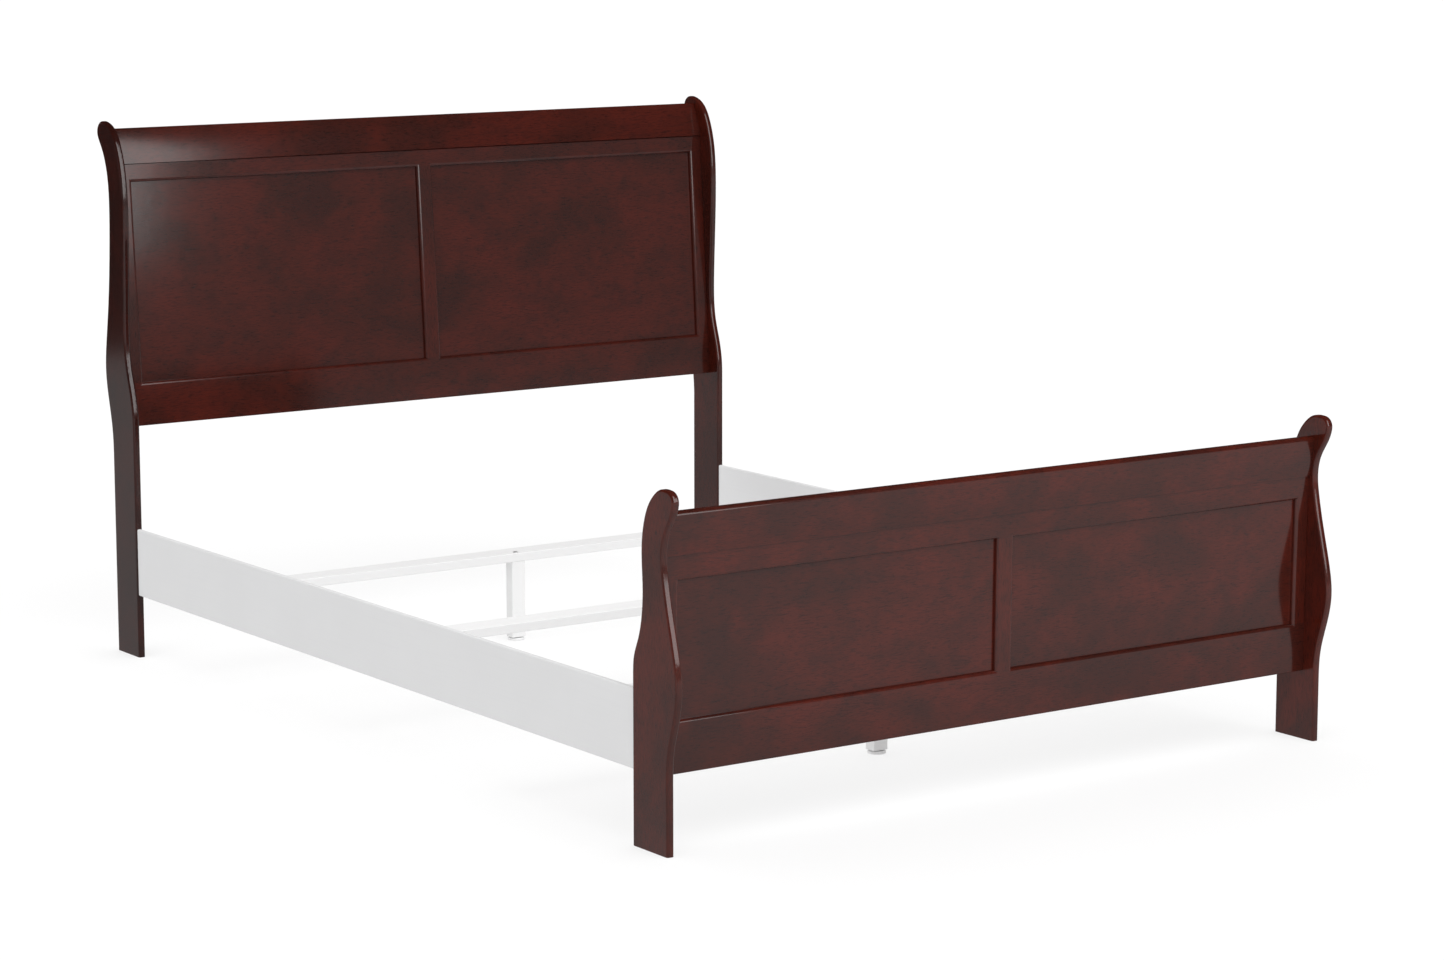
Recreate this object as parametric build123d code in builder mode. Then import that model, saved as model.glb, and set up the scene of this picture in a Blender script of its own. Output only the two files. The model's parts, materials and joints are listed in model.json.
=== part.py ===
"""Sleigh bed: scrolled headboard and footboard joined by hook-on side rails.

Frame: millimetres, +Z up, +Y towards the head end, +X to the right of someone
standing at the foot. The origin is on the floor under the middle of the bed.
"""
import math
import os

from build123d import *

# ---------------------------------------------------------------- bed frame
BED_WIDTH = 1654.0
RAIL_LENGTH = 2062.0          # between the footboard legs and the headboard legs
POST_THICK = 16.0
POST_ROUNDING = 5.0
FOOT_LEG_DEPTH = 116.0
HEAD_LEG_DEPTH = 110.4
FOOT_BELLY = 31.5             # the footboard posts bulge this far past their legs
HEAD_SCROLL_REACH = 153.0     # front of the headboard legs to the back of the scroll
BED_LENGTH = FOOT_BELLY + FOOT_LEG_DEPTH + RAIL_LENGTH + HEAD_SCROLL_REACH
FOOT_Y = FOOT_BELLY - BED_LENGTH / 2          # foot-side face of the footboard legs
HEAD_Y = FOOT_Y + FOOT_LEG_DEPTH + RAIL_LENGTH  # front face of the headboard legs
POST_INNER_X = BED_WIDTH / 2 - POST_THICK

# ------------------------------------------- frame-and-panel work, both boards
FRAME_THICK = 20.0
PANEL_THICK = 6.0
PANEL_RECESS = 9.0
STILE_WIDTH = 33.0
CENTRE_STILE_WIDTH = 42.0
GROOVE_DEPTH = 8.0
PANEL_PLAY = 1.0              # room for the panels to swell in their grooves
FRAME_EASING = 1.2
OPENING_ROUNDING = 6.5        # front edges of the frame around each panel
CREST_THICK = 24.0
CREST_PROUD = 3.0
CREST_EASING = 1.5
CREST_TOP_ROUNDING = 8.0
CREST_BEND = 0.45             # share of the crest's height, and of its curl, at mid-curve
CREST_BOW = 0.16              # extra bow at mid-curve, as a share of the curl
DOWEL_RADIUS = 4.0
DOWEL_IN_POST = 10.0
DOWEL_LENGTH = 38.0
LOWER_DOWELS = (0.25, 0.7)     # their heights as shares of the lower rail
UPPER_DOWEL_RISE = 2.0        # above the middle of the upper rail
CREST_DOWEL_LENGTH = 30.0
CREST_DOWEL_XS = (-720, -360, 0, 360, 720)
PLUG_RADIUS = 4.5
PLUG_DEPTH = 4.0
CREST_SCREW_RADIUS = 2.5
CREST_SCREW_CLEARANCE = 0.5   # round the shank, where it passes through the post
CREST_SCREW_HEIGHT = 0.55     # share of the crest's height
CREST_SCREW_CURL = 0.52       # share of the crest's curl at that height
CREST_SCREW_LENGTH = 55.0

# ---------------------------------------------------------------- side rails
RAIL_THICK = 10.0
RAIL_BOTTOM = 146.0
RAIL_TOP = 302.0
RAIL_INSET = 3.0
RAIL_ROUNDING = 3.0
RAIL_X = BED_WIDTH / 2 - RAIL_INSET - RAIL_THICK / 2
CLEAT_THICK = 20.0
CLEAT_HEIGHT = 25.0
CLEAT_END_GAP = 40.0
CLEAT_SCREWS = 8
SCREW_RADIUS = 2.0
SCREW_HEAD_RADIUS = 4.0
SCREW_HEAD_DEPTH = 2.0
SCREW_IN_RAIL = 6.0
SCREW_IN_CLEAT = 15.0

# -------------------------------------------------- hook plates and their pins
PLATE_THICK = 2.5
PLATE_SLOT = 2.7
PLATE_IN_RAIL = 46.0
PLATE_HEIGHT = 124.0
PLATE_ROUNDING = 4.0
PLATE_SCREWS = ((-32, 48), (-16, 0), (-32, -48))   # from the rail's end and the plate's middle
PLATE_SCREW_LENGTH = 8.0
HOOK_LENGTH = 22.0
HOOK_HEIGHT = 20.0
HOOK_ROUNDING = 3.0
HOOK_SPACING = 84.0
PIN_RADIUS = 2.5
PIN_COVER = 2.0               # post veneer over the end of each pin
PIN_LENGTH = 11.0
PIN_FROM_EDGE = 12.5
MORTISE_WIDTH = 4.0
MORTISE_DEPTH = 26.0
MORTISE_PLAY = 2.0            # below each hook
LIFT_ROOM = 14.0              # height the rail is lifted to unhook it
PLATE_Z = (RAIL_BOTTOM + RAIL_TOP) / 2

# ------------------------------------------------------ slats and centre legs
SLAT_THICK = 20.0
SLAT_WIDTH = 68.0
SLAT_TOP = 210.0
SLAT_END_GAP = 1.0
SLAT_SPACING = 705.0
LEG_YS = {"head": SLAT_SPACING, "centre": 0.0, "foot": -SLAT_SPACING}
LEG_WIDTH = 36.0
LEG_DEPTH = 28.0
LEG_BOTTOM = 8.0
CORNER_CHAMFER = 1.0
BOLT_RADIUS = 3.0
BOLT_CLEARANCE = 0.5          # round the shank, where it passes through the slat
BOLT_LENGTH = 48.0
BOLT_HEAD_RADIUS = 5.5
BOLT_HEAD_HEIGHT = 3.5
BOLT_HEAD_ROUNDING = 1.5
BOLT_SEAT_RADIUS = 6.0
BOLT_SEAT_DEPTH = 1.5
BOLT_SOCKET_RADIUS = 2.3
BOLT_SOCKET_DEPTH = 2.0
BOLT_END_ROOM = 2.0           # left below the bolt in the leg
INSERT_RADIUS = 5.5
INSERT_LENGTH = 20.0
T_NUT_RADIUS = 5.0
T_NUT_LENGTH = 14.0
T_NUT_FLANGE_RADIUS = 10.0
T_NUT_FLANGE = 1.5
STEM_RADIUS = 4.0
STEM_CLEARANCE = 0.05
STEM_LENGTH = 30.0
PAD_RADIUS = 19.0
PAD_HEIGHT = 6.0
PAD_TOP_ROUNDING = 3.0
PAD_FOOT_ROUNDING = 1.0
STEM_IN_PAD = 3.0
STEM_CHAMFER = 0.8
STEM_END_ROOM = 6.0           # left above the stem in the leg


class Board:
    """One end of the bed: where its frame-and-panel work stands, and its sizes.

    Heights are measured up the face of the frame from its bottom edge. A positive
    lean tips the top of the frame towards the head end. The easing is that of the
    upper rail's top edge, where it meets the crest.
    """

    def __init__(self, name, face_y, bottom, lean, lower_rail, panel, upper_rail,
                 crest, curl, joint_easing):
        self.name = name
        self.leg_y = FOOT_Y if name == "footboard" else HEAD_Y
        self.lower_top = lower_rail
        self.panel_top = lower_rail + panel
        self.upper_top = self.panel_top + upper_rail
        self.crest = crest
        self.curl = curl
        self.joint_easing = joint_easing
        slope = math.radians(lean)
        self.plane = Plane(
            origin=(0, self.leg_y + face_y, bottom),
            x_dir=(1, 0, 0),
            z_dir=(0, -math.cos(slope), math.sin(slope)),
        )

    def place(self, x, height, depth):
        """World position of a point on the frame, depth measured behind its face."""
        return self.plane.from_local_coords(Vector(x, height, -depth))

    def section(self, x):
        """Upright plane across the board at x: its axes run backwards and up the face."""
        return Plane(origin=self.place(x, 0, 0), x_dir=-self.plane.z_dir, z_dir=(1, 0, 0))

    def front_of(self, piece):
        """The face of a piece that shows at the front of the frame."""
        facing = Axis(self.plane.origin, self.plane.z_dir)
        return piece.faces().filter_by(self.plane).sort_by(facing)[-1]


BOARDS = (
    Board("headboard", face_y=35.0, bottom=536.5, lean=4.3,
          lower_rail=100.0, panel=461.5, upper_rail=42.0, crest=82.0, curl=26.0,
          joint_easing=2.5),
    Board("footboard", face_y=35.5, bottom=146.5, lean=-0.6,
          lower_rail=102.0, panel=264.5, upper_rail=48.0, crest=84.0, curl=-10.0,
          joint_easing=0.8),
)


def save(piece, name):
    piece.label = name
    export_step(piece, f"parts/{name}.step")


def side_sign(side):
    return 1 if side == "right" else -1


def post_face(board):
    """Outline of a post in the board's YZ plane, y measured from the leg's front face."""
    if board.name == "headboard":
        depth = HEAD_LEG_DEPTH
        front = [(0, 545), (11, 617), (28.5, 674), (35.9, 779), (30.4, 918), (28.2, 1030),
                 (34.5, 1112), (52, 1172), (84, 1219)]
        nose, nose_radius, nose_start, nose_end = (127.5, 1209.5), 25.5, 96, -14
        back = [(138, 1180), (118.5, 1146), (105, 1097), (101.3, 1040), (105.3, 943),
                (118.4, 816), (132.7, 731), (140.2, 664), (130, 595), (115, 529), (110.4, 462)]
    else:
        depth = FOOT_LEG_DEPTH
        front = [(0, 112), (-3.5, 192), (-20.5, 255), (-31.5, 318), (-22.6, 380), (-1.8, 459),
                 (12.3, 521), (17.3, 567), (8.6, 605), (-11, 638)]
        nose, nose_radius, nose_start, nose_end = (1.2, 668), 22, 190, 98
        back = [(26, 688.8), (46, 676.5), (64, 655.8), (78.5, 622), (86, 575), (83.3, 496),
                (87, 444), (99, 399), (112.5, 366), (116, 334)]
    nose_first = nose_point(nose, nose_radius, nose_start)
    nose_middle = nose_point(nose, nose_radius, (nose_start + nose_end) / 2)
    nose_last = nose_point(nose, nose_radius, nose_end)
    with BuildSketch() as face:
        with BuildLine():
            Line((0, 0), front[0])
            Spline(*front, nose_first, tangents=((0, 1), clockwise(nose_start)),
                   tangent_scalars=(1, 1))
            ThreePointArc(nose_first, nose_middle, nose_last)
            Spline(nose_last, *back, tangents=(clockwise(nose_end), (0, -1)),
                   tangent_scalars=(1, 1))
            Line(back[-1], (depth, 0))
            Line((depth, 0), (0, 0))
        make_face()
    return face.sketch


def nose_point(centre, radius, degrees):
    angle = math.radians(degrees)
    return (centre[0] + radius * math.cos(angle), centre[1] + radius * math.sin(angle))


def clockwise(degrees):
    """Direction of travel at this angle of a circle that is followed clockwise."""
    angle = math.radians(degrees)
    return (math.sin(angle), -math.cos(angle))


def crest_face(board):
    """Section of the crest rail: it curls outwards from the top of the upper rail."""
    back = CREST_THICK - CREST_PROUD
    mid = board.crest * CREST_BEND
    bow = abs(board.curl) * CREST_BOW
    with BuildSketch() as face:
        with BuildLine():
            Line((back, board.upper_top), (-CREST_PROUD, board.upper_top))
            ThreePointArc(
                (-CREST_PROUD, board.upper_top),
                (board.curl * CREST_BEND - CREST_PROUD - bow, board.upper_top + mid),
                (board.curl - CREST_PROUD, board.upper_top + board.crest),
            )
            Line(
                (board.curl - CREST_PROUD, board.upper_top + board.crest),
                (board.curl + back, board.upper_top + board.crest),
            )
            ThreePointArc(
                (board.curl + back, board.upper_top + board.crest),
                (board.curl * CREST_BEND + back - bow, board.upper_top + mid),
                (back, board.upper_top),
            )
        make_face()
        corners = face.vertices().sort_by(Axis.Y)
        fillet(corners[-2:], CREST_TOP_ROUNDING)
        fillet(corners[:2].sort_by(Axis.X)[0], CREST_EASING)
    return face.sketch


def rail_end_dowels(board):
    """Height and depth of each dowel that ties the rails to the posts."""
    middle = FRAME_THICK / 2
    lower = [(board.lower_top * share, middle) for share in LOWER_DOWELS]
    upper = [((board.panel_top + board.upper_top) / 2 + UPPER_DOWEL_RISE, middle)]
    return lower + upper


def crest_screw_place(board):
    """Height and depth of the plugged screw in each end of the crest rail."""
    height = board.upper_top + board.crest * CREST_SCREW_HEIGHT
    depth = board.curl * CREST_SCREW_CURL + CREST_THICK / 2 - CREST_PROUD
    return height, depth


def hook_heights():
    return (PLATE_Z - HOOK_SPACING / 2, PLATE_Z + HOOK_SPACING / 2)


def build_post(board, side):
    sign = side_sign(side)
    outer_x = sign * BED_WIDTH / 2
    inner_x = sign * POST_INNER_X
    rail_edge = board.leg_y + (FOOT_LEG_DEPTH if board.name == "footboard" else 0)
    into_post = -1 if board.name == "footboard" else 1
    with BuildPart() as post:
        with BuildSketch(Plane(origin=(min(outer_x, inner_x), board.leg_y, 0),
                               x_dir=(0, 1, 0), z_dir=(1, 0, 0))):
            add(post_face(board))
        extrude(amount=POST_THICK)
        upright = post.faces().filter_by(Axis.X)
        fillet(upright.edges().filter_by(lambda edge: edge.center().Z > 1), POST_ROUNDING)
        # dowel sockets in the inner face
        for height, depth in rail_end_dowels(board):
            spot = board.place(inner_x, height, depth)
            with BuildSketch(Plane(origin=spot, z_dir=(sign, 0, 0))):
                Circle(DOWEL_RADIUS)
            extrude(amount=DOWEL_IN_POST, mode=Mode.SUBTRACT)
        # screw hole into the crest rail, with a counterbore for the plug
        height, depth = crest_screw_place(board)
        with BuildSketch(Plane(origin=board.place(outer_x, height, depth), z_dir=(-sign, 0, 0))):
            Circle(CREST_SCREW_RADIUS + CREST_SCREW_CLEARANCE)
        extrude(amount=POST_THICK, mode=Mode.SUBTRACT)
        with BuildSketch(Plane(origin=board.place(outer_x, height, depth), z_dir=(-sign, 0, 0))):
            Circle(PLUG_RADIUS)
        extrude(amount=PLUG_DEPTH + SCREW_HEAD_DEPTH, mode=Mode.SUBTRACT)
        # mortises for the two hooks, and the pins that cross them
        for level in hook_heights():
            low = level - HOOK_HEIGHT / 2 - MORTISE_PLAY
            high = level + HOOK_HEIGHT / 2 + LIFT_ROOM
            with BuildSketch(Plane(origin=(sign * RAIL_X, rail_edge, 0),
                                   x_dir=(-into_post, 0, 0), z_dir=(0, into_post, 0))):
                with Locations((0, (low + high) / 2)):
                    Rectangle(MORTISE_WIDTH, high - low)
            extrude(amount=MORTISE_DEPTH, mode=Mode.SUBTRACT)
            pin_y = rail_edge + into_post * PIN_FROM_EDGE
            with BuildSketch(Plane(origin=(sign * (POST_INNER_X + PIN_COVER), pin_y, level - PIN_RADIUS),
                                   z_dir=(sign, 0, 0))):
                Circle(PIN_RADIUS)
            extrude(amount=PIN_LENGTH, mode=Mode.SUBTRACT)
    return post.part


def board_rail(board, low, high, groove_up):
    """A full-width rail with a panel groove along one edge and dowel holes in its ends."""
    with BuildPart() as rail:
        with BuildSketch(board.plane):
            with Locations((0, (low + high) / 2)):
                Rectangle(2 * POST_INNER_X, high - low)
        extrude(amount=-FRAME_THICK)
        up_the_board = Axis(board.plane.origin, board.plane.y_dir)
        long_edges = board.front_of(rail).edges().filter_by(Axis.X).sort_by(up_the_board)
        if groove_up:
            fillet(long_edges[0], FRAME_EASING)
        else:
            fillet(long_edges[-1], board.joint_easing)
        add(opening_waste(board), mode=Mode.SUBTRACT)
        edge = high if groove_up else low
        inward = -1 if groove_up else 1
        with BuildSketch(board.section(-POST_INNER_X)):
            with Locations((PANEL_RECESS + PANEL_THICK / 2, edge + inward * GROOVE_DEPTH / 2)):
                Rectangle(PANEL_THICK, GROOVE_DEPTH)
        extrude(amount=2 * POST_INNER_X, mode=Mode.SUBTRACT)
        for height, depth in rail_end_dowels(board):
            if low < height < high:
                for sign in (-1, 1):
                    spot = board.place(sign * POST_INNER_X, height, depth)
                    with BuildSketch(Plane(origin=spot, z_dir=(-sign, 0, 0))):
                        Circle(DOWEL_RADIUS)
                    extrude(amount=DOWEL_LENGTH - DOWEL_IN_POST, mode=Mode.SUBTRACT)
        if not groove_up:
            for x in CREST_DOWEL_XS:
                with BuildSketch(crest_dowel_plane(board, x)):
                    Circle(DOWEL_RADIUS)
                extrude(amount=-CREST_DOWEL_LENGTH / 2, mode=Mode.SUBTRACT)
    return rail.part


def opening_waste(board):
    """The wood that rounding over the front edges of the panel openings takes away."""
    near = CENTRE_STILE_WIDTH / 2
    far = POST_INNER_X - STILE_WIDTH
    middle = (board.lower_top + board.panel_top) / 2
    height = board.panel_top - board.lower_top
    margin = OPENING_ROUNDING + 2
    with BuildPart() as square_edged:
        with BuildSketch(board.plane):
            for sign in (-1, 1):
                with Locations((sign * (near + far) / 2, middle)):
                    Rectangle(far - near + 2 * margin, height + 2 * margin)
                    Rectangle(far - near, height, mode=Mode.SUBTRACT)
        extrude(amount=-margin)
    facing = Axis(board.plane.origin, board.plane.z_dir)
    with BuildPart() as rounded:
        add(square_edged.part)
        fronts = rounded.faces().filter_by(board.plane).group_by(facing)[-1]
        rims = [edge for front in fronts for edge in front.inner_wires()[0].edges()]
        fillet(rims, OPENING_ROUNDING)
    return square_edged.part - rounded.part


def crest_dowel_plane(board, x):
    """Plane on top of the upper rail, facing up the board, in the middle of the rail."""
    return Plane(
        origin=board.place(x, board.upper_top, FRAME_THICK / 2),
        x_dir=(1, 0, 0),
        z_dir=board.plane.y_dir,
    )


def build_crest(board):
    with BuildPart() as crest:
        with BuildSketch(board.section(-POST_INNER_X)):
            add(crest_face(board))
        extrude(amount=2 * POST_INNER_X)
        for x in CREST_DOWEL_XS:
            with BuildSketch(crest_dowel_plane(board, x)):
                Circle(DOWEL_RADIUS)
            extrude(amount=CREST_DOWEL_LENGTH / 2, mode=Mode.SUBTRACT)
        height, depth = crest_screw_place(board)
        for sign in (-1, 1):
            spot = board.place(sign * POST_INNER_X, height, depth)
            with BuildSketch(Plane(origin=spot, z_dir=(-sign, 0, 0))):
                Circle(CREST_SCREW_RADIUS)
            extrude(amount=crest_screw_reach(), mode=Mode.SUBTRACT)
    return crest.part


def crest_screw_reach():
    """How far a crest screw goes into the end of the crest rail."""
    return CREST_SCREW_LENGTH - (POST_THICK - PLUG_DEPTH)


def build_stile(board, x, width, tongue_sides):
    """An upright between the rails: stub tenons at its ends, grooves where panels enter."""
    with BuildPart() as stile:
        with BuildSketch(board.plane):
            with Locations((x, (board.lower_top + board.panel_top) / 2)):
                Rectangle(width, board.panel_top - board.lower_top)
        extrude(amount=-FRAME_THICK)
        front_edges = board.front_of(stile).edges()
        long_edges = front_edges.filter_by(lambda edge: edge.length > 2 * width)
        if len(tongue_sides) == 1:
            post_side = long_edges.sort_by(Axis.X)[-1 if tongue_sides[0] < 0 else 0]
            fillet(post_side, FRAME_EASING)
        add(opening_waste(board), mode=Mode.SUBTRACT)
        with BuildSketch(board.plane.offset(-PANEL_RECESS)):
            with Locations((x, (board.lower_top + board.panel_top) / 2)):
                Rectangle(width, board.panel_top - board.lower_top + 2 * GROOVE_DEPTH - 1)
        extrude(amount=-PANEL_THICK)
        for sign in tongue_sides:
            with BuildSketch(board.plane.offset(-PANEL_RECESS)):
                with Locations((x + sign * (width - GROOVE_DEPTH) / 2,
                                (board.lower_top + board.panel_top) / 2)):
                    Rectangle(GROOVE_DEPTH, board.panel_top - board.lower_top + 2 * GROOVE_DEPTH)
            extrude(amount=-PANEL_THICK, mode=Mode.SUBTRACT)
    return stile.part


def panel_span(side):
    """The x range of a panel, inside the grooves of the stiles on either side of it."""
    near = CENTRE_STILE_WIDTH / 2 - GROOVE_DEPTH + PANEL_PLAY
    far = POST_INNER_X - STILE_WIDTH + GROOVE_DEPTH - PANEL_PLAY
    return (near, far) if side == "right" else (-far, -near)


def build_panel(board, side):
    left, right = panel_span(side)
    low = board.lower_top - GROOVE_DEPTH + PANEL_PLAY
    high = board.panel_top + GROOVE_DEPTH - PANEL_PLAY
    with BuildPart() as panel:
        with BuildSketch(board.plane.offset(-PANEL_RECESS)):
            with Locations(((left + right) / 2, (low + high) / 2)):
                Rectangle(right - left, high - low)
        extrude(amount=-PANEL_THICK)
    return panel.part


def build_rail_dowels(board):
    with BuildPart() as dowels:
        for sign in (-1, 1):
            for height, depth in rail_end_dowels(board):
                start = board.place(sign * (POST_INNER_X + DOWEL_IN_POST), height, depth)
                with BuildSketch(Plane(origin=start, z_dir=(-sign, 0, 0))):
                    Circle(DOWEL_RADIUS)
                extrude(amount=DOWEL_LENGTH)
    return dowels.part


def build_crest_dowels(board):
    with BuildPart() as dowels:
        for x in CREST_DOWEL_XS:
            with BuildSketch(crest_dowel_plane(board, x).offset(-CREST_DOWEL_LENGTH / 2)):
                Circle(DOWEL_RADIUS)
            extrude(amount=CREST_DOWEL_LENGTH)
    return dowels.part


def build_crest_screws(board):
    height, depth = crest_screw_place(board)
    with BuildPart() as screws:
        for sign in (-1, 1):
            seat = board.place(sign * (BED_WIDTH / 2 - PLUG_DEPTH - SCREW_HEAD_DEPTH), height, depth)
            with BuildSketch(Plane(origin=seat, z_dir=(sign, 0, 0))):
                Circle(PLUG_RADIUS)
            extrude(amount=SCREW_HEAD_DEPTH)
            with BuildSketch(Plane(origin=seat, z_dir=(-sign, 0, 0))):
                Circle(CREST_SCREW_RADIUS)
            extrude(amount=CREST_SCREW_LENGTH - SCREW_HEAD_DEPTH)
    return screws.part


def build_plugs(board):
    height, depth = crest_screw_place(board)
    with BuildPart() as plugs:
        for sign in (-1, 1):
            face = board.place(sign * BED_WIDTH / 2, height, depth)
            with BuildSketch(Plane(origin=face, z_dir=(-sign, 0, 0))):
                Circle(PLUG_RADIUS)
            extrude(amount=PLUG_DEPTH)
    return plugs.part


def hook_plate_face():
    """Outline of a hook plate, x running out of the rail's end and y up from its middle."""
    with BuildSketch() as face:
        with Locations((-PLATE_IN_RAIL / 2, 0)):
            Rectangle(PLATE_IN_RAIL, PLATE_HEIGHT)
        fillet(face.vertices().group_by(Axis.X)[0], PLATE_ROUNDING)
        for level in (-HOOK_SPACING / 2, HOOK_SPACING / 2):
            with Locations(((HOOK_LENGTH - HOOK_ROUNDING) / 2, level)):
                RectangleRounded(HOOK_LENGTH + HOOK_ROUNDING, HOOK_HEIGHT, HOOK_ROUNDING)
        for level in (-HOOK_SPACING / 2, HOOK_SPACING / 2):
            with Locations((PIN_FROM_EDGE, level - PIN_RADIUS)):
                Circle(PIN_RADIUS, mode=Mode.SUBTRACT)
            with Locations((PIN_FROM_EDGE, level - PIN_RADIUS - HOOK_HEIGHT / 2)):
                Rectangle(2 * PIN_RADIUS, HOOK_HEIGHT, mode=Mode.SUBTRACT)
    return face.sketch


def plate_plane(end, side):
    """Middle plane of a hook plate, with its x axis pointing out of the rail's end."""
    outward = 1 if end == "head" else -1
    edge = HEAD_Y if end == "head" else FOOT_Y + FOOT_LEG_DEPTH
    return Plane(
        origin=(side_sign(side) * RAIL_X, edge, PLATE_Z),
        x_dir=(0, outward, 0),
        z_dir=(outward, 0, 0),
    )


def build_hook_plate(end, side):
    with BuildPart() as plate:
        with BuildSketch(plate_plane(end, side)):
            add(hook_plate_face())
            with Locations(*PLATE_SCREWS):
                Circle(SCREW_RADIUS, mode=Mode.SUBTRACT)
        extrude(amount=PLATE_THICK / 2, both=True)
    return plate.part


def screw_start(end, side, x, y):
    """Point on the rail's inner face where a hook plate screw enters, and its direction."""
    sign = side_sign(side)
    middle = plate_plane(end, side).from_local_coords(Vector(x, y, 0))
    return Vector(middle.X - sign * RAIL_THICK / 2, middle.Y, middle.Z), (sign, 0, 0)


def build_side_rail(side):
    sign = side_sign(side)
    with BuildPart() as rail:
        with BuildSketch(Plane.XZ.offset(-HEAD_Y)):
            with Locations((sign * RAIL_X, (RAIL_TOP + RAIL_BOTTOM) / 2)):
                Rectangle(RAIL_THICK, RAIL_TOP - RAIL_BOTTOM)
        extrude(amount=RAIL_LENGTH)
        long_edges = rail.edges().filter_by(Axis.Y)
        fillet(long_edges, RAIL_ROUNDING)
        for end in ("head", "foot"):
            with BuildSketch(plate_plane(end, side)):
                with Locations((-(PLATE_IN_RAIL + 1) / 2, 0)):
                    Rectangle(PLATE_IN_RAIL + 1, PLATE_HEIGHT)
            extrude(amount=PLATE_SLOT / 2, both=True, mode=Mode.SUBTRACT)
            for x, y in PLATE_SCREWS:
                start, inward = screw_start(end, side, x, y)
                with BuildSketch(Plane(origin=start, z_dir=inward)):
                    Circle(SCREW_RADIUS)
                extrude(amount=PLATE_SCREW_LENGTH, mode=Mode.SUBTRACT)
                with BuildSketch(Plane(origin=start, z_dir=inward)):
                    Circle(SCREW_HEAD_RADIUS)
                extrude(amount=SCREW_HEAD_DEPTH, mode=Mode.SUBTRACT)
        for y in cleat_screw_ys():
            with BuildSketch(Plane(origin=(sign * (RAIL_X - RAIL_THICK / 2), y, cleat_middle()),
                                   z_dir=(sign, 0, 0))):
                Circle(SCREW_RADIUS)
            extrude(amount=SCREW_IN_RAIL, mode=Mode.SUBTRACT)
    return rail.part


def build_hook_plate_screws():
    with BuildPart() as screws:
        for end in ("head", "foot"):
            for side in ("left", "right"):
                for x, y in PLATE_SCREWS:
                    start, inward = screw_start(end, side, x, y)
                    with BuildSketch(Plane(origin=start, z_dir=inward)):
                        Circle(SCREW_RADIUS)
                    extrude(amount=PLATE_SCREW_LENGTH)
                    with BuildSketch(Plane(origin=start, z_dir=inward)):
                        Circle(SCREW_HEAD_RADIUS)
                    extrude(amount=SCREW_HEAD_DEPTH)
    return screws.part


def build_post_pins():
    with BuildPart() as pins:
        for side in ("left", "right"):
            sign = side_sign(side)
            for pin_y in (HEAD_Y + PIN_FROM_EDGE, FOOT_Y + FOOT_LEG_DEPTH - PIN_FROM_EDGE):
                for level in hook_heights():
                    start = (sign * (POST_INNER_X + PIN_COVER), pin_y, level - PIN_RADIUS)
                    with BuildSketch(Plane(origin=start, z_dir=(sign, 0, 0))):
                        Circle(PIN_RADIUS)
                    extrude(amount=PIN_LENGTH)
    return pins.part


def cleat_middle():
    return SLAT_TOP - SLAT_THICK - CLEAT_HEIGHT / 2


def cleat_span():
    return (FOOT_Y + FOOT_LEG_DEPTH + CLEAT_END_GAP, HEAD_Y - CLEAT_END_GAP)


def cleat_screw_ys():
    low, high = cleat_span()
    pitch = (high - low) / CLEAT_SCREWS
    return [low + pitch * (index + 0.5) for index in range(CLEAT_SCREWS)]


def build_cleat(side):
    sign = side_sign(side)
    low, high = cleat_span()
    inner_face = RAIL_X - RAIL_THICK / 2
    with BuildPart() as cleat:
        with BuildSketch(Plane.XZ.offset(-high)):
            with Locations((sign * (inner_face - CLEAT_THICK / 2), cleat_middle())):
                Rectangle(CLEAT_THICK, CLEAT_HEIGHT)
        extrude(amount=high - low)
        room_side = cleat.faces().sort_by(Axis.X)[0 if sign > 0 else -1]
        chamfer(room_side.edges().filter_by(Axis.Y), 2 * CORNER_CHAMFER)
        for y in cleat_screw_ys():
            with Locations(Plane(origin=(sign * (inner_face - CLEAT_THICK), y, cleat_middle()),
                                 z_dir=(-sign, 0, 0))):
                CounterSinkHole(SCREW_RADIUS, SCREW_HEAD_RADIUS, CLEAT_THICK)
        for y in LEG_YS.values():
            with BuildSketch(Plane(origin=slat_screw_place(sign, y, SLAT_TOP - SLAT_THICK),
                                   z_dir=(0, 0, -1))):
                Circle(SCREW_RADIUS)
            extrude(amount=SCREW_IN_CLEAT, mode=Mode.SUBTRACT)
    return cleat.part


def build_cleat_screws():
    inner_face = RAIL_X - RAIL_THICK / 2
    length = CLEAT_THICK + SCREW_IN_RAIL
    with BuildPart() as screws:
        for sign in (-1, 1):
            for y in cleat_screw_ys():
                with BuildSketch(Plane(origin=(sign * (inner_face - CLEAT_THICK), y, cleat_middle()),
                                       x_dir=(0, 1, 0), z_dir=(0, 0, 1))):
                    with BuildLine():
                        Polyline(*screw_section(sign, length), close=True)
                    make_face()
                revolve(axis=Axis((0, y, cleat_middle()), (1, 0, 0)))
    return screws.part


def screw_section(sign, length):
    """Half section of a countersunk screw: radius first, then distance along its axis."""
    taper = SCREW_HEAD_RADIUS - SCREW_RADIUS
    along = [(0, 0), (SCREW_HEAD_RADIUS, 0), (SCREW_RADIUS, taper), (SCREW_RADIUS, length), (0, length)]
    return [(radius, -sign * distance) for radius, distance in along]


def slat_middle_y(leg_y):
    """A slat's foot-side edge is flush with the foot side of the leg below it."""
    return leg_y + (SLAT_WIDTH - LEG_DEPTH) / 2


def slat_screw_place(sign, leg_y, z):
    inner_face = RAIL_X - RAIL_THICK / 2
    return (sign * (inner_face - CLEAT_THICK / 2), slat_middle_y(leg_y), z)


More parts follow.
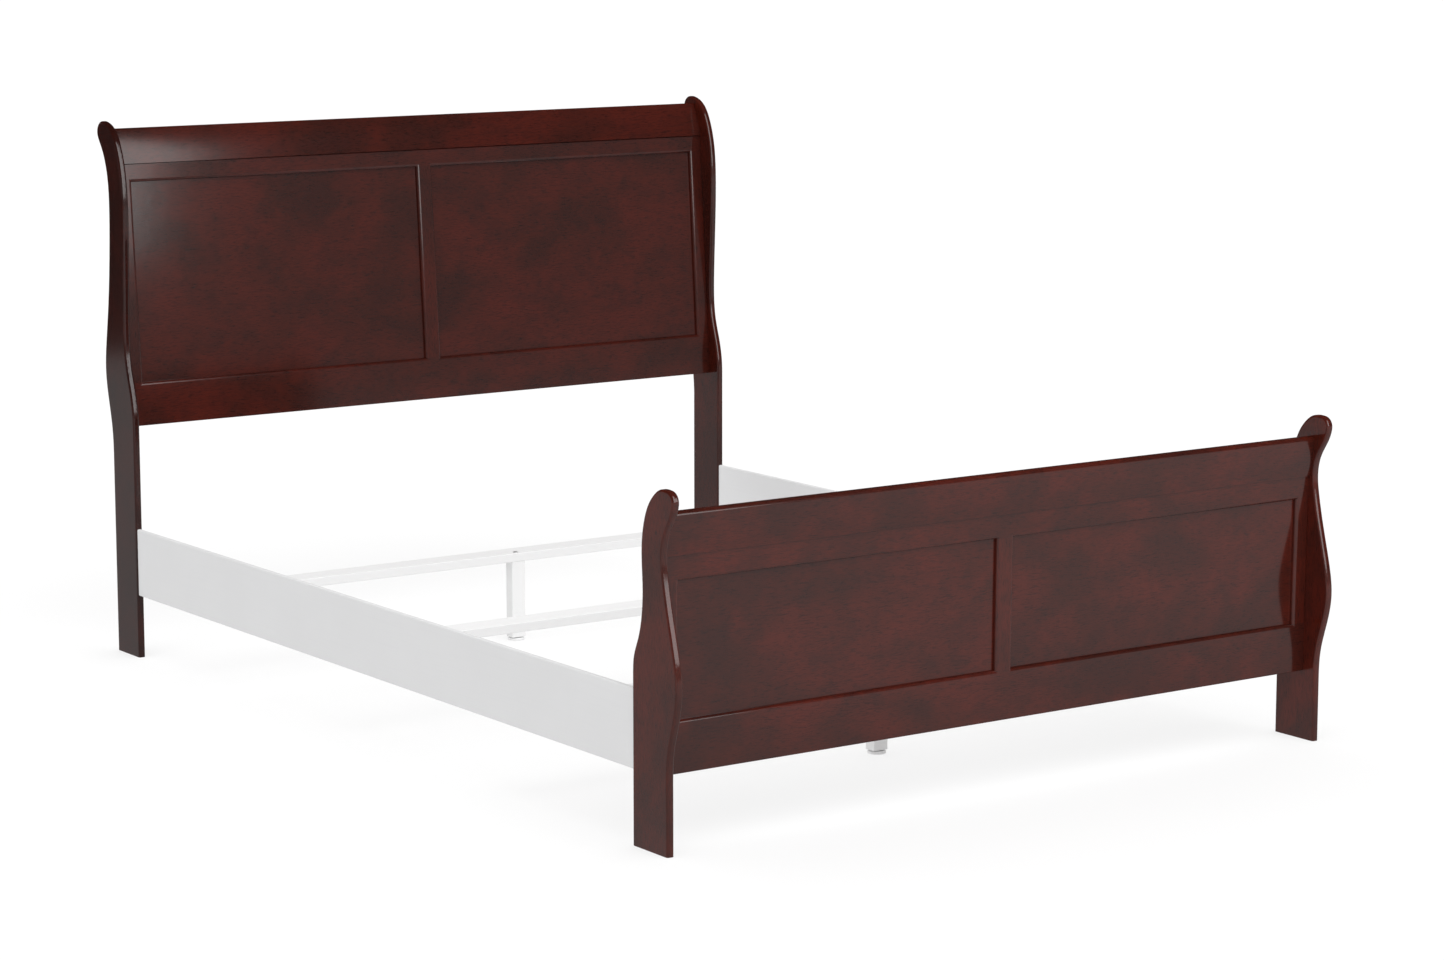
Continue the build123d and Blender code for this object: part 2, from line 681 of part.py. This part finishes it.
def build_slat(leg_y):
    length = 2 * (RAIL_X - RAIL_THICK / 2 - SLAT_END_GAP)
    with BuildPart() as slat:
        with BuildSketch(Plane.XY.offset(SLAT_TOP - SLAT_THICK)):
            with Locations((0, slat_middle_y(leg_y))):
                Rectangle(length, SLAT_WIDTH)
        extrude(amount=SLAT_THICK)
        chamfer(slat.edges().filter_by(Axis.X), CORNER_CHAMFER)
        for sign in (-1, 1):
            with Locations(slat_screw_place(sign, leg_y, SLAT_TOP)):
                CounterSinkHole(SCREW_RADIUS, SCREW_HEAD_RADIUS, SLAT_THICK)
        with Locations((0, leg_y, SLAT_TOP)):
            CounterBoreHole(BOLT_RADIUS + BOLT_CLEARANCE, BOLT_SEAT_RADIUS, BOLT_SEAT_DEPTH, SLAT_THICK)
    return slat.part


def build_slat_screws():
    length = SLAT_THICK + SCREW_IN_CLEAT
    with BuildPart() as screws:
        for leg_y in LEG_YS.values():
            for sign in (-1, 1):
                x, y, top = slat_screw_place(sign, leg_y, SLAT_TOP)
                with BuildSketch(Plane(origin=(x, y, top), x_dir=(1, 0, 0), z_dir=(0, -1, 0))):
                    with BuildLine():
                        Polyline(*screw_section(1, length), close=True)
                    make_face()
                revolve(axis=Axis((x, y, top), (0, 0, 1)))
    return screws.part


def build_centre_leg(leg_y):
    top = SLAT_TOP - SLAT_THICK
    with BuildPart() as leg:
        with BuildSketch(Plane.XY.offset(LEG_BOTTOM)):
            with Locations((0, leg_y)):
                Rectangle(LEG_WIDTH, LEG_DEPTH)
        extrude(amount=top - LEG_BOTTOM)
        chamfer(leg.edges().filter_by(Axis.Z), CORNER_CHAMFER)
        with BuildSketch(Plane(origin=(0, leg_y, top), z_dir=(0, 0, -1))):
            Circle(INSERT_RADIUS)
        extrude(amount=BOLT_LENGTH - SLAT_THICK + BOLT_END_ROOM, mode=Mode.SUBTRACT)
        with BuildSketch(Plane.XY.offset(LEG_BOTTOM)):
            with Locations((0, leg_y)):
                Circle(T_NUT_RADIUS)
        extrude(amount=STEM_LENGTH + STEM_END_ROOM, mode=Mode.SUBTRACT)
        with BuildSketch(Plane.XY.offset(LEG_BOTTOM)):
            with Locations((0, leg_y)):
                Circle(T_NUT_FLANGE_RADIUS)
        extrude(amount=T_NUT_FLANGE, mode=Mode.SUBTRACT)
    return leg.part


def build_leg_bolts():
    seat = SLAT_TOP - BOLT_SEAT_DEPTH
    with BuildPart() as bolts:
        for leg_y in LEG_YS.values():
            with BuildSketch(Plane.XY.offset(seat)):
                with Locations((0, leg_y)):
                    Circle(BOLT_HEAD_RADIUS)
            extrude(amount=BOLT_HEAD_HEIGHT)
        fillet(bolts.edges().group_by(Axis.Z)[-1], BOLT_HEAD_ROUNDING)
        for leg_y in LEG_YS.values():
            with BuildSketch(Plane.XY.offset(seat + BOLT_HEAD_HEIGHT)):
                with Locations((0, leg_y)):
                    RegularPolygon(BOLT_SOCKET_RADIUS, 6)
            extrude(amount=-BOLT_SOCKET_DEPTH, mode=Mode.SUBTRACT)
            with BuildSketch(Plane.XY.offset(seat)):
                with Locations((0, leg_y)):
                    Circle(BOLT_RADIUS)
            extrude(amount=-BOLT_LENGTH)
    return bolts.part


def build_leg_inserts():
    top = SLAT_TOP - SLAT_THICK
    with BuildPart() as inserts:
        with BuildSketch(Plane.XY.offset(top - INSERT_LENGTH)):
            for leg_y in LEG_YS.values():
                with Locations((0, leg_y)):
                    Circle(INSERT_RADIUS)
                    Circle(BOLT_RADIUS, mode=Mode.SUBTRACT)
        extrude(amount=INSERT_LENGTH)
    return inserts.part


def build_t_nuts():
    bore = STEM_RADIUS + STEM_CLEARANCE
    with BuildPart() as t_nuts:
        for leg_y in LEG_YS.values():
            with BuildSketch(Plane.XY.offset(LEG_BOTTOM)):
                with Locations((0, leg_y)):
                    Circle(T_NUT_FLANGE_RADIUS)
            extrude(amount=T_NUT_FLANGE)
            with BuildSketch(Plane.XY.offset(LEG_BOTTOM)):
                with Locations((0, leg_y)):
                    Circle(T_NUT_RADIUS)
            extrude(amount=T_NUT_LENGTH)
            with BuildSketch(Plane.XY.offset(LEG_BOTTOM)):
                with Locations((0, leg_y)):
                    Circle(bore)
            extrude(amount=T_NUT_LENGTH, mode=Mode.SUBTRACT)
    return t_nuts.part


def build_glide_stem(leg_y):
    with BuildPart() as stem:
        with BuildSketch(Plane.XY.offset(PAD_HEIGHT - STEM_IN_PAD)):
            with Locations((0, leg_y)):
                Circle(STEM_RADIUS)
        extrude(amount=STEM_LENGTH)
        chamfer(stem.edges().group_by(Axis.Z)[-1], STEM_CHAMFER)
    return stem.part


def build_glide_pad(leg_y):
    with BuildPart() as pad:
        with BuildSketch():
            with Locations((0, leg_y)):
                Circle(PAD_RADIUS)
        extrude(amount=PAD_HEIGHT)
        fillet(pad.edges().group_by(Axis.Z)[-1], PAD_TOP_ROUNDING)
        fillet(pad.edges().group_by(Axis.Z)[0], PAD_FOOT_ROUNDING)
        with BuildSketch(Plane.XY.offset(PAD_HEIGHT)):
            with Locations((0, leg_y)):
                Circle(STEM_RADIUS)
        extrude(amount=-STEM_IN_PAD, mode=Mode.SUBTRACT)
    return pad.part


def build_board(board):
    for side in ("left", "right"):
        save(build_post(board, side), f"{board.name}_post_{side}")
        save(build_panel(board, side), f"{board.name}_panel_{side}")
    save(board_rail(board, 0, board.lower_top, groove_up=True), f"{board.name}_lower_rail")
    save(board_rail(board, board.panel_top, board.upper_top, groove_up=False),
         f"{board.name}_upper_rail")
    save(build_crest(board), f"{board.name}_crest_rail")
    edge_x = POST_INNER_X - STILE_WIDTH / 2
    save(build_stile(board, -edge_x, STILE_WIDTH, [1]), f"{board.name}_stile_left")
    save(build_stile(board, 0, CENTRE_STILE_WIDTH, [-1, 1]), f"{board.name}_stile_centre")
    save(build_stile(board, edge_x, STILE_WIDTH, [-1]), f"{board.name}_stile_right")
    save(build_rail_dowels(board), f"{board.name}_rail_dowels")
    save(build_crest_dowels(board), f"{board.name}_crest_dowels")
    save(build_crest_screws(board), f"{board.name}_crest_screws")
    save(build_plugs(board), f"{board.name}_screw_plugs")


def build_rails():
    for side in ("left", "right"):
        save(build_side_rail(side), f"side_rail_{side}")
        save(build_cleat(side), f"rail_cleat_{side}")
        for end in ("head", "foot"):
            save(build_hook_plate(end, side), f"hook_plate_{end}_{side}")
    save(build_hook_plate_screws(), "hook_plate_screws")
    save(build_post_pins(), "hook_pins")
    save(build_cleat_screws(), "cleat_screws")


def build_slats():
    for place, leg_y in LEG_YS.items():
        save(build_slat(leg_y), f"slat_{place}")
        save(build_centre_leg(leg_y), f"centre_leg_{place}")
        save(build_glide_stem(leg_y), f"glide_stem_{place}")
        save(build_glide_pad(leg_y), f"glide_pad_{place}")
    save(build_slat_screws(), "slat_screws")
    save(build_leg_bolts(), "leg_bolts")
    save(build_leg_inserts(), "leg_inserts")
    save(build_t_nuts(), "leg_t_nuts")


os.makedirs("parts", exist_ok=True)
for each_board in BOARDS:
    build_board(each_board)
build_rails()
build_slats()
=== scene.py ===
"""Looks for the sleigh bed: materials, floor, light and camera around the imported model."""
import json
import math

import bpy
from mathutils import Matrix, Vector

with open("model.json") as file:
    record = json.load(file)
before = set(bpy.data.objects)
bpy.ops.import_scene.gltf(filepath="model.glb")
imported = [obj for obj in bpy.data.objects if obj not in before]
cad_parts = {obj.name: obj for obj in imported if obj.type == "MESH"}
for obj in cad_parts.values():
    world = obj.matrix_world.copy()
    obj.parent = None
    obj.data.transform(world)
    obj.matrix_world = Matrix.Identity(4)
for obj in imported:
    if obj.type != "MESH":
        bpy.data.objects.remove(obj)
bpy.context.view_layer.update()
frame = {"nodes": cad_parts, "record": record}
nodes = frame["nodes"]

# ---------------------------------------------------------------- camera
CAMERA_PLACE = (-4.6368, -6.7602, 1.8233)   # metres, left of the foot end, a little above eye level
CAMERA_PITCH = 9.319                        # degrees below the horizon
CAMERA_YAW = 35.034                         # degrees from +Y towards +X
CAMERA_LENS = 93.98                         # millimetres on a 36 mm sensor
SENSOR_WIDTH = 36.0

# ---------------------------------------------------------------- floor and light
DISC_SIDES = 96
FLOOR_RADIUS = 260.0
FLOOR_PALE = (0.265, 0.265, 0.265)
FLOOR_GLOW = 0.69                           # light that the floor gives back beyond the lamps' own
MIRROR_CENTRE = (3.0, -10.0)                # the stretch of floor that the lacquer sees
MIRROR_RADIUS = 17.2
MIRROR_DROP = 0.0005                        # how far it lies under the floor
MIRROR_NEAR = 0.66                          # the floor's brightness in the lacquer, foot side
MIRROR_FAR = 0.40                           # and beside and behind the bed
MIRROR_FADE = (-2.6, -0.4)                  # where along Y the one fades into the other
HORIZON_GLOW = 0.26                         # the room's brightness in the lacquer, at eye level
CEILING_GLOW = 0.02                         # and above and below it
HORIZON_BAND = (0.474, 0.478, 0.552, 0.572)  # the band's edges: 0 is straight down, 1 straight up
SOFTBOX_GLOW = 3.7
SOFTBOX_Y = -5.75
SOFTBOX_LEFT = -3.0
SOFTBOX_RIGHT = (2.6, 4.35)                 # the right edge slants: its X at the bottom and at the top
SOFTBOX_HEIGHTS = (1.2, 10.0)
SUNS = (("dome", (0.0, 0.0, 1.0), 3.5, 150),    # name, direction towards it, strength, width in degrees
        ("key", (0.0, -0.6, 0.8), 0.8, 40),
        ("fill", (-1.0, -0.2, 0.3), 0.3, 60))

# ---------------------------------------------------------------- materials
HEADBOARD_TONE = 1.08                       # the headboard is coloured darker than the footboard
LEFT_HEAD_POST_SHADE_TONE = 0.6                   # and its left post darker still: painted shade for the dimmer light on its outer side
FOOTBOARD_TONE = 1.36
CHERRY_LIGHT = (0.060, 0.0066, 0.0028)
CHERRY_MIDDLE = (0.041, 0.0054, 0.0023)
CHERRY_DARK = (0.024, 0.0044, 0.0028)
CHERRY_PORE = (0.010, 0.0022, 0.0015)
VENEER_STEP = (3.1, 1.7, 2.3)               # moves each piece to its own stretch of veneer
BOARD_STEP = (17.0, 0.0, 5.0)               # and the footboard away from the headboard
PAINTED = {                                 # grain axis, colour, shaded colour, roughness
    "pale_rail_left": ("Y", (0.70, 0.70, 0.705), (0.675, 0.675, 0.68), 0.45),
    # the right rail's copy is lighter: painted light against the shade inside the bed
    "pale_rail_right_painted_light": ("Y", (0.75, 0.75, 0.755), (0.725, 0.725, 0.73), 0.45),
    "painted_steel": ("Y", (0.748, 0.748, 0.753), (0.725, 0.725, 0.73), 0.45),
    "pale_slat": ("X", (0.80, 0.80, 0.80), (0.785, 0.785, 0.785), 0.55),
    "pale_leg": ("Z", (0.81, 0.81, 0.81), (0.795, 0.795, 0.795), 0.55),
}


class Graph:
    """A material's node tree with short calls for the nodes that the materials share."""

    def __init__(self, name):
        self.material = bpy.data.materials.new(name)
        self.material.use_nodes = True
        self.tree = self.material.node_tree
        self.tree.nodes.clear()
        self.shader = self.add("ShaderNodeBsdfPrincipled")
        output = self.add("ShaderNodeOutputMaterial")
        self.link(self.shader.outputs["BSDF"], output.inputs["Surface"])
        self.coords = self.add("ShaderNodeTexCoord").outputs["Object"]

    def add(self, kind, **settings):
        node = self.tree.nodes.new(kind)
        for key, value in settings.items():
            setattr(node, key, value)
        return node

    def link(self, source, target):
        self.tree.links.new(source, target)

    def put(self, node, **values):
        """Set or link inputs by name, with underscores for spaces."""
        for key, value in values.items():
            socket = node.inputs[key.replace("_", " ")]
            if isinstance(value, bpy.types.NodeSocket):
                self.link(value, socket)
            else:
                socket.default_value = value

    def stretched(self, scale, offset=(0, 0, 0)):
        """Object coordinates, shifted and then scaled along each axis."""
        mapping = self.add("ShaderNodeMapping")
        self.put(mapping, Vector=self.coords, Scale=scale, Location=offset)
        return mapping.outputs["Vector"]

    def noise(self, vector, detail=3.0, roughness=0.5, distortion=0.0):
        node = self.add("ShaderNodeTexNoise")
        self.put(node, Vector=vector, Scale=1.0, Detail=detail,
                 Roughness=roughness, Distortion=distortion)
        return node.outputs["Fac"]

    def ramp(self, value, low, high, to_low=0.0, to_high=1.0):
        """Smooth step of a value from low..high to to_low..to_high."""
        node = self.add("ShaderNodeMapRange", interpolation_type="SMOOTHSTEP")
        self.put(node, Value=value, From_Min=low, From_Max=high, To_Min=to_low, To_Max=to_high)
        return node.outputs["Result"]

    def mix(self, factor, first, second):
        node = self.add("ShaderNodeMix", data_type="RGBA")
        sockets = (node.inputs[0], node.inputs[6], node.inputs[7])     # factor and the two colours
        for socket, value in zip(sockets, (factor, first, second)):
            if isinstance(value, bpy.types.NodeSocket):
                self.link(value, socket)
            elif isinstance(value, tuple):
                socket.default_value = (*value, 1.0)
            else:
                socket.default_value = value
        return node.outputs[2]

    def math(self, operation, first, second):
        node = self.add("ShaderNodeMath", operation=operation)
        for socket, value in zip(node.inputs, (first, second)):
            if isinstance(value, bpy.types.NodeSocket):
                self.link(value, socket)
            else:
                socket.default_value = value
        return node.outputs[0]

    def bump(self, height, distance, normal=None):
        node = self.add("ShaderNodeBump")
        self.put(node, Height=height, Distance=distance, Strength=1.0)
        if normal is not None:
            self.link(normal, node.inputs["Normal"])
        return node.outputs["Normal"]


def grain_scale(axis, along, across):
    """Scale of a texture that runs along the given axis."""
    return tuple(along if name == axis else across for name in "XYZ")


def cherry(name, axis, offset, tone=1.0):
    """High-gloss lacquer over dark cherry veneer, its grain along one axis."""
    g = Graph(name)
    colours = (CHERRY_LIGHT, CHERRY_MIDDLE, CHERRY_DARK, CHERRY_PORE)
    light, middle, dark, pore = (tuple(tone * c for c in colour) for colour in colours)
    blotch = g.noise(g.stretched(grain_scale(axis, 4.6, 5.6), offset), detail=3.0,
                     roughness=0.6, distortion=0.25)
    cloud = g.noise(g.stretched(grain_scale(axis, 11.0, 15.0), offset), detail=3.0,
                    roughness=0.65, distortion=0.2)
    streak = g.noise(g.stretched(grain_scale(axis, 26.0, 150.0), offset), detail=3.0, roughness=0.65)
    fleck = g.noise(g.stretched(grain_scale(axis, 60.0, 480.0), offset), detail=3.0, roughness=0.65)
    pores = g.noise(g.stretched(grain_scale(axis, 100.0, 1500.0), offset), detail=1.0)
    colour = g.mix(g.ramp(blotch, 0.36, 0.62), light, middle)
    colour = g.mix(g.ramp(cloud, 0.44, 0.76, 0.0, 0.65), colour, dark)
    colour = g.mix(g.ramp(blotch, 0.48, 0.74, 0.0, 0.7), colour, dark)
    colour = g.mix(g.ramp(streak, 0.46, 0.74, 0.0, 0.4), colour, dark)
    colour = g.mix(g.ramp(fleck, 0.48, 0.68, 0.0, 0.6), colour, pore)
    colour = g.mix(g.ramp(pores, 0.58, 0.72, 0.0, 0.5), colour, pore)
    ripple = g.noise(g.stretched((34.0, 34.0, 34.0), offset), detail=1.0)
    grain_bump = g.bump(fleck, distance=0.00002)
    coat_bump = g.bump(ripple, distance=0.00004, normal=g.bump(fleck, distance=0.000003))
    g.put(g.shader, Base_Color=colour, Roughness=0.5, Specular_IOR_Level=0.05,
          Normal=grain_bump, Coat_Weight=1.0, Coat_Roughness=0.105, Coat_IOR=1.5,
          Coat_Normal=coat_bump)
    return g.material


def pale_wood(name, axis, light, shade, roughness):
    """Painted wood: a nearly even coat with the grain just telling through it."""
    g = Graph(name)
    cloud = g.noise(g.stretched((6.0, 6.0, 6.0)), detail=2.0)
    grain = g.noise(g.stretched(grain_scale(axis, 5.0, 260.0)), detail=4.0, roughness=0.6)
    brush = g.noise(g.stretched(grain_scale(axis, 14.0, 900.0)), detail=2.0)
    colour = g.mix(g.ramp(cloud, 0.3, 0.7, 0.0, 0.5), light, shade)
    colour = g.mix(g.ramp(grain, 0.45, 0.75, 0.0, 0.45), colour, shade)
    height = g.math("ADD", grain, g.math("MULTIPLY", brush, 0.5))
    g.put(g.shader, Base_Color=colour,
          Roughness=g.ramp(brush, 0.3, 0.7, roughness - 0.05, roughness + 0.07),
          Specular_IOR_Level=0.3, Normal=g.bump(height, distance=0.00003))
    return g.material


def bare_wood(name, axis, light, dark):
    """Unfinished wood with a plain grain."""
    g = Graph(name)
    grain = g.noise(g.stretched(grain_scale(axis, 12.0, 420.0)), detail=4.0, roughness=0.65)
    colour = g.mix(g.ramp(grain, 0.35, 0.7), light, dark)
    g.put(g.shader, Base_Color=colour, Roughness=g.ramp(grain, 0.3, 0.7, 0.55, 0.75),
          Normal=g.bump(grain, distance=0.0001))
    return g.material


def metal(name, base, worn, low, high):
    """Plated or blackened steel with rubbed patches, its roughness between low and high."""
    g = Graph(name)
    cloud = g.noise(g.stretched((180.0, 180.0, 180.0)), detail=3.0)
    specks = g.noise(g.stretched((2400.0, 2400.0, 2400.0)), detail=2.0)
    g.put(g.shader, Base_Color=g.mix(g.ramp(cloud, 0.45, 0.75), base, worn), Metallic=1.0,
          Roughness=g.ramp(cloud, 0.3, 0.7, low, high),
          Normal=g.bump(specks, distance=0.00001))
    return g.material


def nylon(name, base, worn):
    """Moulded nylon with a fine spark-eroded texture."""
    g = Graph(name)
    cloud = g.noise(g.stretched((90.0, 90.0, 90.0)), detail=2.0)
    texture = g.noise(g.stretched((1600.0, 1600.0, 1600.0)), detail=2.0)
    g.put(g.shader, Base_Color=g.mix(g.ramp(cloud, 0.4, 0.7), base, worn),
          Roughness=g.ramp(texture, 0.3, 0.7, 0.42, 0.58), Specular_IOR_Level=0.45,
          Normal=g.bump(texture, distance=0.00003))
    return g.material


def dress(node, material):
    """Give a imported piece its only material."""
    mesh = nodes[node].data
    mesh.materials.clear()
    mesh.materials.append(material)


def dress_boards():
    """Each board of the two ends has its own stretch of veneer."""
    for index, board in enumerate(("headboard", "footboard")):
        pieces = (("post_left", "Z"), ("post_right", "Z"),
                  ("stile_left", "Z"), ("stile_centre", "Z"), ("stile_right", "Z"),
                  ("panel_left", "X"), ("panel_right", "X"),
                  ("lower_rail", "X"), ("upper_rail", "X"), ("crest_rail", "X"))
        for step, (piece, axis) in enumerate(pieces):
            name = f"{board}_{piece}"
            offset = tuple(a * step + b * index for a, b in zip(VENEER_STEP, BOARD_STEP))
            tone = HEADBOARD_TONE if board == "headboard" else FOOTBOARD_TONE
            # painted shade: the left head post is darkened for the dimmer light on its outer side
            if name == "headboard_post_left":
                tone = LEFT_HEAD_POST_SHADE_TONE
            dress(name, cherry(f"cherry_{name}", axis, offset, tone))


def dress_bed_base():
    """Rails, slats, legs, glides and fasteners, by their slots, then the pieces that differ."""
    painted = {name: pale_wood(name, *finish) for name, finish in PAINTED.items()}
    zinc = metal("zinc_steel", base=(0.55, 0.56, 0.57), worn=(0.7, 0.71, 0.72), low=0.25, high=0.42)
    dull_zinc = metal("bolt_zinc", base=(0.8, 0.8, 0.8), worn=(0.88, 0.88, 0.88), low=0.5, high=0.62)
    black = metal("black_steel", base=(0.025, 0.025, 0.027), worn=(0.07, 0.07, 0.075),
                  low=0.3, high=0.48)
    finish_of = {
        "pale_rail": painted["pale_rail_left"],
        "pale_slat": painted["pale_slat"],
        "painted_steel": painted["painted_steel"],
        "dowel_wood": bare_wood("dowel_wood", "X", (0.62, 0.42, 0.24), (0.45, 0.27, 0.13)),
        "black_steel": black,
        "zinc_steel": zinc,
        "grey_nylon": nylon("grey_nylon", base=(0.78, 0.78, 0.78), worn=(0.84, 0.84, 0.84)),
    }
    for part in frame["record"]["subparts"]:
        if part["material_slot"] in finish_of:
            dress(part["node"], finish_of[part["material_slot"]])
    for place in ("head", "centre", "foot"):
        dress(f"centre_leg_{place}", painted["pale_leg"])
    # painted light: the right rail gets the lighter copy of the rail paint, against the shade inside
    # the bed
    dress("side_rail_right", painted["pale_rail_right_painted_light"])
    dress("leg_bolts", dull_zinc)
    for board, offset in (("headboard", (9.0, 4.0, 2.0)), ("footboard", (2.0, 7.0, 5.0))):
        dress(f"{board}_screw_plugs", cherry(f"plug_{board}", "X", offset))


def disc(name, radius, centre):
    """A round sheet, facing up."""
    x, y, height = centre
    mesh = bpy.data.meshes.new(name)
    corners = []
    for i in range(DISC_SIDES):
        turn = math.tau * i / DISC_SIDES
        corners.append((x + radius * math.cos(turn), y + radius * math.sin(turn), height))
    mesh.from_pydata(corners, [], [tuple(range(DISC_SIDES))])
    sheet = bpy.data.objects.new(name, mesh)
    bpy.context.scene.collection.objects.link(sheet)
    return sheet


def seen_only_in_gloss(sheet):
    """Keep a sheet out of every ray except reflections."""
    sheet.visible_camera = False
    sheet.visible_diffuse = False
    sheet.visible_shadow = False
    sheet.visible_transmission = False


def glowing(name):
    """A material that only gives off light, and the emission node in it."""
    g = Graph(name)
    g.tree.nodes.remove(g.shader)
    glow = g.add("ShaderNodeEmission")
    output = next(node for node in g.tree.nodes if node.type == "OUTPUT_MATERIAL")
    g.link(glow.outputs[0], output.inputs["Surface"])
    return g, glow


def make_floor():
    """A pale floor, and the dimmer stretch of floor that the lacquer reflects."""
    g = Graph("floor_paper")
    cloud = g.noise(g.stretched((0.8, 0.8, 0.8)), detail=2.0)
    g.put(g.shader, Base_Color=g.mix(cloud, FLOOR_PALE, tuple(0.99 * c for c in FLOOR_PALE)),
          Roughness=0.9, Specular_IOR_Level=0.1, Emission_Color=(1.0, 1.0, 1.0, 1.0),
          Emission_Strength=FLOOR_GLOW)
    floor = disc("floor", FLOOR_RADIUS, (0.0, 0.0, 0.0))
    floor.data.materials.append(g.material)
    floor.visible_glossy = False
    g, glow = glowing("floor_in_gloss")
    split = g.add("ShaderNodeSeparateXYZ")
    g.link(g.coords, split.inputs[0])
    g.link(g.ramp(split.outputs["Y"], *MIRROR_FADE, MIRROR_NEAR, MIRROR_FAR), glow.inputs["Strength"])
    mirror = disc("floor_mirror", MIRROR_RADIUS, (*MIRROR_CENTRE, -MIRROR_DROP))
    mirror.data.materials.append(g.material)
    seen_only_in_gloss(mirror)


def make_softbox():
    """The tall lamp in front, on the left, that the posts' rounded edges catch."""
    bottom, top = SOFTBOX_HEIGHTS
    right_low, right_high = SOFTBOX_RIGHT
    corners = [(SOFTBOX_LEFT, SOFTBOX_Y, bottom), (right_low, SOFTBOX_Y, bottom),
               (right_high, SOFTBOX_Y, top), (SOFTBOX_LEFT, SOFTBOX_Y, top)]
    mesh = bpy.data.meshes.new("softbox")
    mesh.from_pydata(corners, [], [(0, 1, 2, 3)])
    g, glow = glowing("softbox_cloth")
    glow.inputs["Strength"].default_value = SOFTBOX_GLOW
    mesh.materials.append(g.material)
    box = bpy.data.objects.new("softbox", mesh)
    bpy.context.scene.collection.objects.link(box)
    seen_only_in_gloss(box)


def make_sun(name, direction, strength, angle):
    """A soft light from far away, shining from the given direction."""
    light = bpy.data.lights.new(name, "SUN")
    light.energy = strength
    light.angle = math.radians(angle)
    sun = bpy.data.objects.new(name, light)
    sun.rotation_euler = Vector(direction).to_track_quat("Z", "Y").to_euler()
    sun.visible_glossy = False
    bpy.context.scene.collection.objects.link(sun)


def make_world():
    """A white room to look at, which the lacquer sees as a dim band at eye level."""
    world = bpy.data.worlds.new("studio")
    bpy.context.scene.world = world
    world.use_nodes = True
    tree = world.node_tree
    background = tree.nodes["Background"]
    coords = tree.nodes.new("ShaderNodeTexCoord")
    separate = tree.nodes.new("ShaderNodeSeparateXYZ")
    ramp = tree.nodes.new("ShaderNodeValToRGB")
    tree.links.new(coords.outputs["Generated"], separate.inputs[0])
    height = tree.nodes.new("ShaderNodeMapRange")
    height.inputs["From Min"].default_value = -1.0
    tree.links.new(separate.outputs["Z"], height.inputs["Value"])
    tree.links.new(height.outputs["Result"], ramp.inputs[0])
    light_path = tree.nodes.new("ShaderNodeLightPath")      # seen directly, the room is white
    seen = tree.nodes.new("ShaderNodeMix")
    seen.data_type = "RGBA"
    seen.inputs[7].default_value = (1.0, 1.0, 1.0, 1.0)
    tree.links.new(light_path.outputs["Is Camera Ray"], seen.inputs[0])
    tree.links.new(ramp.outputs[0], seen.inputs[6])
    tree.links.new(seen.outputs[2], background.inputs["Color"])
    stops = ramp.color_ramp.elements
    while len(stops) < 4:
        stops.new(0.5)
    for stop, edge, level in zip(stops, HORIZON_BAND,
                                 (CEILING_GLOW, HORIZON_GLOW, HORIZON_GLOW, CEILING_GLOW)):
        stop.position = edge
        stop.color = (level, level, level, 1)


def make_camera():
    """An upright long lens, pitched a little down."""
    lens = bpy.data.cameras.new("camera")
    lens.lens = CAMERA_LENS
    lens.sensor_width = SENSOR_WIDTH
    lens.clip_end = 500.0
    camera = bpy.data.objects.new("camera", lens)
    camera.location = CAMERA_PLACE
    camera.rotation_euler = (math.radians(90 - CAMERA_PITCH), 0, math.radians(-CAMERA_YAW))
    bpy.context.scene.collection.objects.link(camera)
    bpy.context.scene.camera = camera


make_camera()
bpy.context.scene.view_settings.view_transform = "Standard"
dress_boards()
dress_bed_base()
make_floor()
make_softbox()
make_world()
for sun in SUNS:
    make_sun(*sun)
